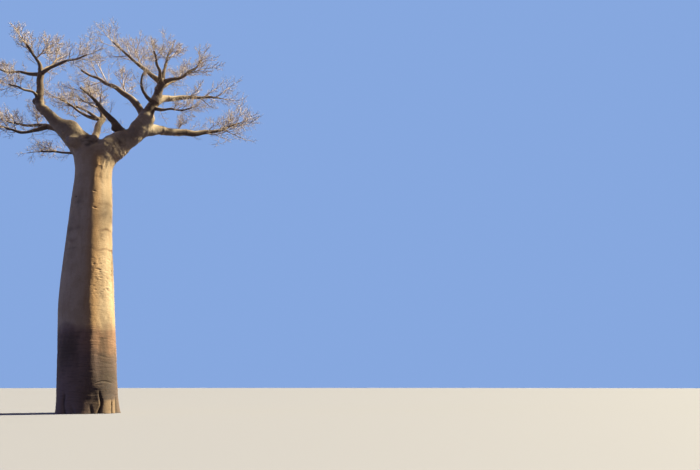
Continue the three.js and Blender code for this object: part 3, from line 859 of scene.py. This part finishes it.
# The twigs' rule, as the solids have it.
spray = {
    "orders": 5,
    "stem": {"steps": 4, "shoots": 7, "first": 0.1},
    "shoot": {"steps": 2, "shoots": 4, "first": 0.3},
    "side": {"length": 0.54, "radius": 0.6, "spread": 46},
    "leader": {"length": 0.5, "radius": 0.9, "spread": 14},
    "turn": 137.5,
    "flatness": 0.85,
    "wander": 0.2,
    "lift": 0.12,
    "taper": 0.6,
    "leastRadius": 0.014,
    "endStem": 0.75,
    "sideStem": (0.05, 0.03),
    "clearance": 0.05,
    "draws": {"turn": (11, -30, 30), "spread": (12, 0.75, 1.25), "length": (13, 0.75, 1.25)},
    "numbering": 10,
}


# A number between two others that depends only on a shoot's own number and which draw it is.
def draw(ids, which, low, high):
    return low + (high - low) * fraction(ids * scatter["shoot"] + which * scatter["draw"])


# The heading of a shoot that is spread from the way it leaves, and turned round it.
def spreadWay(ids, way, turns, spread, flatness):
    across = unit(np.cross(way, up))
    over = np.cross(across, way)
    turn = np.radians(spray["turn"] * turns + draw(ids, *spray["draws"]["turn"]))[:, None]
    spread = np.radians(spread * draw(ids, *spray["draws"]["spread"]))[:, None]
    sideways = across * np.cos(turn) + over * np.sin(turn) * flatness
    return unit(way * np.cos(spread) + sideways * np.sin(spread))


# The points of each shoot. At every step its heading takes a random bend and a lift, and is made a
# unit again.
def shootPoints(ids, start, way, length, steps):
    points = [start]
    for i in range(steps):
        bend = [draw(ids, 3 * i + axis, -spray["wander"], spray["wander"]) for axis in (1, 2, 3)]
        way = unit(way + np.stack(bend, -1) + up * spray["lift"])
        points.append(points[-1] + way * np.expand_dims(length / steps, -1))
    return np.stack(points, -2)


# A stem carries on its bough's own line, or leaves a bough's side on its own heading.
def placeStems():
    steps = spray["stem"]["steps"]
    stems = {"id": [], "mass": [], "parent": [], "points": [], "length": [], "radius": [], "tip": []}
    for index, name in enumerate(masses):
        if name in sideStems:
            parent, share, length, way = sideStems[name]
            foot, number = along(paths[parent], share), np.array(index + 1.0)
            points = shootPoints(number, foot, heading(*way), np.array(length), steps)
            radius, tip = spray["sideStem"]
        else:
            parent, path = name, paths[name]
            length = path["twiggedLength"]
            points = np.array([along(path["twigged"], i / steps) for i in range(steps + 1)])
            radius, tip = path["twigged"]["radii"][[0, -1]] * spray["endStem"]
        row = (index + 1.0, index, list(boughs).index(parent), points, length, radius, tip)
        for column, value in zip(stems.values(), row):
            column.append(value)
    return {key: np.array(value) for key, value in stems.items()}


def distanceTo(p, a, b):
    t = np.clip((p - a) @ (b - a) / ((b - a) @ (b - a)), 0, 1)
    return np.linalg.norm(p - a - t[:, None] * (b - a), axis=1)


def distanceToStems(p, stems):
    return np.stack([np.min([distanceTo(p, a, b) for a, b in zip(line, line[1:])], 0) for line in stems], 1)


def only(shoots, wanted):
    return {key: value[wanted] for key, value in shoots.items()}


# A point is in its mass's space where the mass's own stem is nearer than every other one, by twice
# its radius and a clearance.
def inSpace(p, radius, own, stems):
    reach = distanceToStems(p, stems)
    rows = np.arange(len(p))
    mine = reach[rows, own]
    reach[rows, own] = np.inf
    return reach.min(1) - mine > 2 * (radius + spray["clearance"])


# Skipped is the number of steps at each parent's end, or all of them, that a shoot may touch.
def touchesLimb(p, radius, parent, skipped=1):
    z = np.clip(p[:, 2], 0, trunk["height"])
    side = np.sqrt((p[:, 0] - trunkAxis(z)) ** 2 + p[:, 1] ** 2 + (p[:, 2] - z) ** 2)
    keptClear = radius + spray["clearance"]
    touches = side < trunkRadius(np.minimum(z, trunk["height"] - trunk["dome"]), 0) + keptClear
    for index, path in enumerate(paths.values()):
        steps = len(path["points"]) - 1
        for i, (a, b) in enumerate(zip(path["points"], path["points"][1:])):
            thick = max(path["radii"][i], path["radii"][i + 1])
            hit = distanceTo(p, a, b) < thick + keptClear
            if i >= steps - skipped:
                hit &= parent != index
            touches |= hit
    return touches


def freeShoots(shoots, stems):
    points = shoots["points"]
    tests = np.concatenate([points[:, 1:], (points[:, 1:] + points[:, :-1]) / 2], 1)
    count = tests.shape[1]
    p = tests.reshape(-1, 3)
    own, radius = np.repeat(shoots["mass"], count), np.repeat(shoots["radius"], count)
    free = inSpace(p, radius, own, stems) if stems is not None else np.ones(len(p), bool)
    free[free] = ~touchesLimb(p[free], radius[free], np.repeat(shoots["parent"], count)[free])
    return free.reshape(-1, count).all(1)


# The shoots that leave each shoot, at even places along it: each is spread from the step that it
# leaves by a random angle, and turned on from one to the next, with the leader last.
def shootsOf(parents, order):
    kind = spray["shoot"] if order else spray["stem"]
    steps, points = kind["steps"], parents["points"]
    born = []
    for k in range(kind["shoots"] + 1):
        place = kind["first"] + (1 - kind["first"]) * k / kind["shoots"]
        grows = spray["leader"] if k == kind["shoots"] else spray["side"]
        ids = parents["id"] * spray["numbering"] + k + 1
        i = min(int(place * steps), steps - 1)
        way = unit(points[:, i + 1] - points[:, i])
        way = spreadWay(ids, way, k + order, grows["spread"], spray["flatness"])
        length = parents["length"] * grows["length"] * draw(ids, *spray["draws"]["length"])
        local = parents["radius"] + (parents["tip"] - parents["radius"]) * place
        radius = np.maximum(local * grows["radius"], spray["leastRadius"])
        start = points[:, i] + (points[:, i + 1] - points[:, i]) * (place * steps - i)
        born.append({
            "id": ids,
            "mass": parents["mass"],
            "parent": parents["parent"],
            "spray": parents["spray"] if order > 1 else ids,
            "points": shootPoints(ids, start, way, length, spray["shoot"]["steps"]),
            "order": ids * 0 + order + 1,
            "length": length,
            "radius": radius,
            "tip": radius * spray["taper"],
        })
    return {key: np.concatenate([b[key] for b in born]) for key in born[0]}


# Shoots of shoots, order by order, without those that would leave their space or touch a limb.
def growOn(shoots, order, stems):
    grown = []
    while order < spray["orders"] - 1:
        shoots = shootsOf(shoots, order)
        shoots = only(shoots, freeShoots(shoots, stems))
        grown.append(shoots)
        order += 1
    return grown


# Sprigs leave the bare stretches of the boughs by the same rule, so that the haze of twigs has no
# gaps there. Each belongs to the mass whose stem is nearest.
sprigs = {
    "every": 0.36,
    "from": {"left_upper": 0.25, "right_upper": 0.45, "back": 0.4, "low_left": 0.5, "far_right": 0.4},
    "fromOthers": 0.35,
    "none": ["left_lower", "right_lower"],
    "length": 0.7,
    "order": 2,
    "spread": 52,
    "radius": 0.018,
    "numbers": 700,  # where their own numbers start, beyond those of the masses
}


def placeSprigs(stems):
    rows = {"id": [], "parent": [], "start": [], "along": []}
    for index, (name, path) in enumerate(paths.items()):
        if name in sprigs["none"]:
            continue
        first = sprigs["from"].get(name, sprigs["fromOthers"])
        for share in np.arange(first, 1, sprigs["every"] / lengthOf(path["points"])):
            rows["id"].append(float(sprigs["numbers"] + len(rows["id"])))
            rows["parent"].append(index)
            rows["start"].append(along(path, share))
            rows["along"].append(along(path, min(share + 0.1, 1)) - along(path, share - 0.1))
    ids, start = np.array(rows["id"]), np.array(rows["start"])
    way = spreadWay(ids, unit(np.array(rows["along"])), ids, sprigs["spread"], 1)
    length = sprigs["length"] * draw(ids, *spray["draws"]["length"])
    shoots = {
        "id": ids,
        "mass": distanceToStems(start, stems).argmin(1),
        "parent": np.array(rows["parent"]),
        "spray": ids,
        "points": shootPoints(ids, start, way, length, spray["shoot"]["steps"]),
        "order": ids * 0 + sprigs["order"],
        "length": length,
        "radius": ids * 0 + sprigs["radius"],
        "tip": ids * 0 + sprigs["radius"] * spray["taper"],
    }
    touches = touchesLimb(shoots["points"][:, -1], shoots["radius"], shoots["parent"], math.inf)
    return only(shoots, ~touches)


def growTwigs():
    stems = placeStems()
    stems["spray"], stems["order"] = stems["id"], stems["id"] * 0
    branches = growOn(stems, 0, stems["points"])
    thick = only(stems, np.isin(masses, list(sideStems)))
    first = placeSprigs(stems["points"])
    return thick, [first, *branches, *growOn(first, sprigs["order"], None)]


# Thin tubes, all at once: three corners round every point of every shoot.
twigLook = {
    "sides": 3,
    "tintDraw": 21,
    "fineness": [1, 1.0, 0.85, 0.65, 0.42],  # how thick each order is drawn, as a share of the rule's radius
    "tints": [(0.60, 0.49, 0.42), (0.42, 0.34, 0.29), (0.22, 0.17, 0.15), (0.76, 0.66, 0.60)],
    "finish": {"Roughness": 0.85, "Specular IOR Level": 0.3},
    "regions": {
        "leftCrown": ["left_top", "left_top_side", "left_out", "left_front", "left_back", "left_side"],
        "lowCrown": ["low_left_under", "low_left_over", "low_left_side", "low_back"],
        "backCrown": ["back_low", "back_left", "back_high", "far_back"],
        "middleCrown": ["middle", "inner_left", "inner_left_side", "hook"],
        "rightCrown": ["far_right", "far_right_low", "far_right_side", "right_level", "right_level_side",
                       "right_front"],
        "topLeftCrown": ["top_left", "top_left_side", "front"],
        "topRightCrown": ["top", "top_right", "top_right_side"],
    },
}


def tubesOf(twigs):
    sides, points = twigLook["sides"], twigs["points"]
    count, rings = points.shape[:2]
    step = np.diff(points, axis=1)
    way = unit(np.concatenate([step[:, :1], step[:, :-1] + step[:, 1:], step[:, -1:]], 1))
    across = unit(np.cross(way, up))
    radii = twigs["radius"][:, None] + (twigs["tip"] - twigs["radius"])[:, None] * np.linspace(0, 1, rings)
    corner = ringsRound(points, radii, across, np.cross(way, across), sides)
    first = np.arange(count)[:, None, None] * sides * rings
    tint = draw(twigs["spray"], twigLook["tintDraw"], 0, len(twigLook["tints"])).astype(int)
    return corner.reshape(-1, 3), [kind + first for kind in ringFaces(rings, sides)], tint


def makeTwigs(name, groups):
    corner, faces, tints, first = [], [], [], 0
    for group in groups:
        points, kinds, tint = tubesOf(group)
        for kind in kinds:
            faces += (kind + first).reshape(-1, kind.shape[-1]).tolist()
            tints.append(np.repeat(tint, kind.shape[1]))
        corner.append(points)
        first += len(points)
    piece = meshPiece(name, np.concatenate(corner), faces)
    piece.data.polygons.foreach_set("material_index", np.concatenate(tints))
    return piece


# Whatever of a group of shoots belongs to some masses and lies inside the solids' box.
def partOf(group, members):
    low, high = np.array(cadBox)
    inside = ((group["points"] > low) & (group["points"] < high)).all((1, 2))
    wanted = np.isin(group["mass"], [masses.index(name) for name in members]) & inside
    part = only(group, wanted)
    fine = np.array(twigLook["fineness"])[part["order"].astype(int)]
    return {**part, "radius": part["radius"] * fine, "tip": part["tip"] * fine}


thickTwigs, twigs = growTwigs()
print("shoots grown:", sum(len(group["radius"]) for group in twigs))
twigPieces = []
for region, members in twigLook["regions"].items():
    groups = [partOf(group, members) for group in (thickTwigs, *twigs)]
    piece = makeTwigs(region, groups)
    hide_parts(*[f"twigs_{name}" for name in members])
    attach(piece, "root")
    twigPieces.append(piece)
    triangles = sum(len(g["radius"]) * ((g["points"].shape[1] - 1) * 6 + 2) for g in groups)
    print(region, "triangles:", triangles)


# A material's nodes. A value for a socket is a number, a colour, or another node's output.
class Shader:
    def __init__(self, name, values):
        self.material = bpy.data.materials.new(name)
        self.material.use_nodes = True
        self.tree = self.material.node_tree
        self.surface = self.put(self.tree.nodes["Principled BSDF"], values)

    def put(self, node, values):
        for name, value in values.items():
            socket = node.inputs[name]
            if isinstance(value, bpy.types.NodeSocket):
                self.tree.links.new(value, socket)
            else:
                socket.default_value = (*value, 1) if socket.type == "RGBA" else value
        return node

    def add(self, kind, values, **settings):
        node = self.tree.nodes.new(kind)
        for key, value in settings.items():
            setattr(node, key, value)
        return self.put(node, values)

    def noise(self, scale, detail, rough, stretch=(1, 1, 1), shift=(0, 0, 0)):
        place = self.add("ShaderNodeTexCoord", {}).outputs["Object"]
        mapping = self.add("ShaderNodeMapping", {"Vector": place, "Scale": stretch, "Location": shift})
        values = {"Vector": mapping.outputs[0], "Scale": scale, "Detail": detail, "Roughness": rough}
        return self.add("ShaderNodeTexNoise", values).outputs["Fac"]

    def times(self, a, b):
        return self.add("ShaderNodeMath", {0: a, 1: b}, operation="MULTIPLY").outputs[0]

    def levels(self, value, low, high, fromValue=0.0, toValue=1.0):
        values = dict(enumerate((value, low, high, fromValue, toValue)))
        return self.add("ShaderNodeMapRange", values, interpolation_type="SMOOTHSTEP").outputs[0]

    def mix(self, share, a, b):
        return self.add("ShaderNodeMix", {0: share, 6: a, 7: b}, data_type="RGBA").outputs[2]

    def number(self, name):
        return self.add("ShaderNodeAttribute", {}, attribute_name=name).outputs["Fac"]

    def bumps(self, *layers):
        values = {"Strength": 1}
        for height, distance in layers:
            values.update({"Height": height, "Distance": distance})
            values["Normal"] = self.add("ShaderNodeBump", values).outputs[0]
        return values["Normal"]


barkColours = {
    "tan": (0.52, 0.385, 0.26),
    "pale": (0.62, 0.475, 0.335),
    "rust": (0.32, 0.18, 0.10),
    # The colour of the rings of stain, which on the sunny side are also painted shadows of boughs.
    "stainAndShadow": (0.20, 0.12, 0.075),
    # The colour of the painted warm tint at the edge of the lit side.
    "litEdgeWarmth": (0.62, 0.36, 0.17),
    "lower": (0.25, 0.175, 0.16),
    "rosy": (0.37, 0.21, 0.138),
    # The next two colour the sunny side's lower bark: partly its own dark bark, partly painted shadow.
    "darkAndShadowed": (0.12, 0.084, 0.085),
    "skirtInShadow": (0.06, 0.05, 0.055),
    "toe": (0.27, 0.19, 0.135),
    "limb": (0.52, 0.42, 0.32),
    "limbPale": (0.72, 0.60, 0.46),
    "grey": (0.32, 0.26, 0.21),
    # The dark of slim limbs' brown bark and of the limbs' painted shade and shadow.
    "brownAndShade": (0.13, 0.1, 0.085),
    # The colour of painted shade in creases and hollows.
    "creviceShade": (0.07, 0.05, 0.04),
}


# Between these levels one colour gives way to the next above it.
barkLevels = {
    "toe": (0.88, 0.66),
    "skirtInShadow": (1.9, 3.0),
    "darkAndShadowed": (3.0, 4.0),
    "lower": (4.5, 5.2),
    "trunk": (15.0, 17.2),
}

# Scale, detail, roughness, stretch and shift of each noise.
barkNoises = {
    "mottle": (0.8, 5, 0.6),
    "streaks": (1, 4, 0.6, (4.5, 4.5, 0.45)),
    "wrinkles": (1, 5, 0.6, (1.6, 1.6, 17)),
    "specks": (14, 4, 0.7),
    "patches": (0.55, 4, 0.6, (1, 1, 1), (3, 1, 2)),
}


# Below, the trunk's bark changes with the level kept on its corners, and above the fork it gives way to
# that of the limbs.
def barkMaterial(name):
    m, c = Shader(name, {"Specular IOR Level": 0.3}), barkColours
    mottle, streaks, wrinkles, specks, patches = [m.noise(*values) for values in barkNoises.values()]
    rise = {name: m.levels(m.number("level"), *levels) for name, levels in barkLevels.items()}
    upper = m.mix(m.levels(mottle, 0.38, 0.62), c["tan"], c["pale"])
    upper = m.mix(m.times(m.levels(streaks, 0.52, 0.72), 0.3), upper, c["rust"])
    # Painted warm tint where the lit side meets the shade.
    upper = m.mix(m.times(m.number("litEdgeWarmth"), 0.7), upper, c["litEdgeWarmth"])
    # On the sunny side the lower bark is rosy at the top, then darker towards the ground with pale toes
    # below: partly its own bark, partly painted shadow. Elsewhere it keeps one colour.
    lower = m.mix(rise["darkAndShadowed"], c["darkAndShadowed"], c["rosy"])
    lower = m.mix(rise["skirtInShadow"], c["skirtInShadow"], lower)
    lower = m.mix(m.number("sunnySide"), c["lower"], lower)
    toes = m.times(rise["toe"], m.levels(m.number("sunnySide"), 0.6, 0.85))
    lower = m.mix(toes, lower, c["toe"])
    # Painted shade along the wrinkles' creases.
    lower = m.mix(m.times(m.levels(wrinkles, 0.5, 0.66), 0.4), lower, c["creviceShade"])
    colour = m.mix(rise["lower"], lower, upper)
    limbs = m.mix(m.levels(mottle, 0.4, 0.62), c["limb"], c["limbPale"])
    limbs = m.mix(m.levels(patches, 0.42, 0.62, 0.05, 0.75), limbs, c["grey"])
    # Brown of slim limbs, with painted shade underneath and painted shadow on some stretches.
    limbs = m.mix(m.times(m.number("brownAndShade"), 0.9), limbs, c["brownAndShade"])
    colour = m.mix(rise["trunk"], colour, limbs)
    # Rings of stain, and on the sunny side painted shadows of boughs.
    colour = m.mix(m.number("stainAndShadow"), colour, c["stainAndShadow"])
    colour = m.mix(m.levels(specks, 0.3, 0.7, 0.0, 0.2), colour, c["rust"])
    # Painted shade in the bark's hollows, darker where they are deeper.
    colour = m.mix(m.levels(m.number("hollow"), -0.012, -0.06, 0.0, 0.8), colour, c["creviceShade"])
    rough = m.levels(specks, 0.2, 0.8, 0.75, 0.95)
    bumps = m.bumps((wrinkles, 0.012), (mottle, 0.02), (specks, 0.01))
    m.put(m.surface, {"Base Color": colour, "Roughness": rough, "Normal": bumps})
    return m.material


def dress(piece, *materials):
    piece.data.materials.clear()
    for material in materials:
        piece.data.materials.append(material)


dress(trunkBark, barkMaterial("trunkBark"))
limbMaterial = barkMaterial("limbBark")
dress(limbBark, limbMaterial)
dress(slimBark, limbMaterial)
tints = [
    Shader(f"twigBark{number}", {"Base Color": tint, **twigLook["finish"]}).material
    for number, tint in enumerate(twigLook["tints"], 1)
]
for piece in twigPieces:
    dress(piece, *tints)
print("materials made")


# The studio: a pale floor, a plain pale backdrop all round, a warm key light from the right and a weak,
# broad, bluish one from the left. The floor and the backdrop throw no light on the bark.
studio = {
    "look": "Standard",
    "floorSize": 860,
    "floorPaint": {"Base Color": (0.27, 0.28, 0.36), "Roughness": 0.9},
    "domeRadius": 430,
    "domeRings": 25,
    "domeSides": 48,
    "domePaint": {"Base Color": (0, 0, 0), "Specular IOR Level": 0, "Emission Color": (0.24, 0.39, 0.74),
                  "Emission Strength": 1},
    "surround": (0.086, 0.081, 0.11),
    "lights": {
        "key": {"strength": 11.3, "colour": (1.0, 0.89, 0.58), "bearing": 9, "rise": 42.5, "softness": 4},
        "fill": {"strength": 0.5, "colour": (0.2, 0.37, 1.0), "bearing": 178, "rise": 25, "softness": 40},
    },
}


def makeStudio():
    s = studio
    scene.view_settings.view_transform = s["look"]
    half = s["floorSize"] / 2
    square = [(-half, -half, 0), (half, -half, 0), (half, half, 0), (-half, half, 0)]
    floor = meshPiece("floor", square, [[0, 1, 2, 3]])
    dress(floor, Shader("floorPaint", s["floorPaint"]).material)
    around = np.linspace(0, 360, s["domeSides"], endpoint=False)
    dome = heading(around, np.linspace(-90, 90, s["domeRings"])[:, None])
    backdrop = tubePiece("backdrop", [dome * s["domeRadius"]])
    dress(backdrop, Shader("backdropPaint", s["domePaint"]).material)
    for piece in (floor, backdrop):
        piece.visible_diffuse = False
    backdrop.visible_glossy = backdrop.visible_shadow = False
    world = bpy.data.worlds.new("surround")
    world.use_nodes = True
    world.node_tree.nodes["Background"].inputs["Color"].default_value = (*s["surround"], 1)
    scene.world = world
    for name, light in s["lights"].items():
        sun = bpy.data.lights.new(name, "SUN")
        sun.energy, sun.color, sun.angle = light["strength"], light["colour"], math.radians(light["softness"])
        lamp = bpy.data.objects.new(name, sun)
        lamp.rotation_euler = (0, math.radians(90 - light["rise"]), math.radians(light["bearing"]))
        scene.collection.objects.link(lamp)


makeStudio()
print("studio lit")
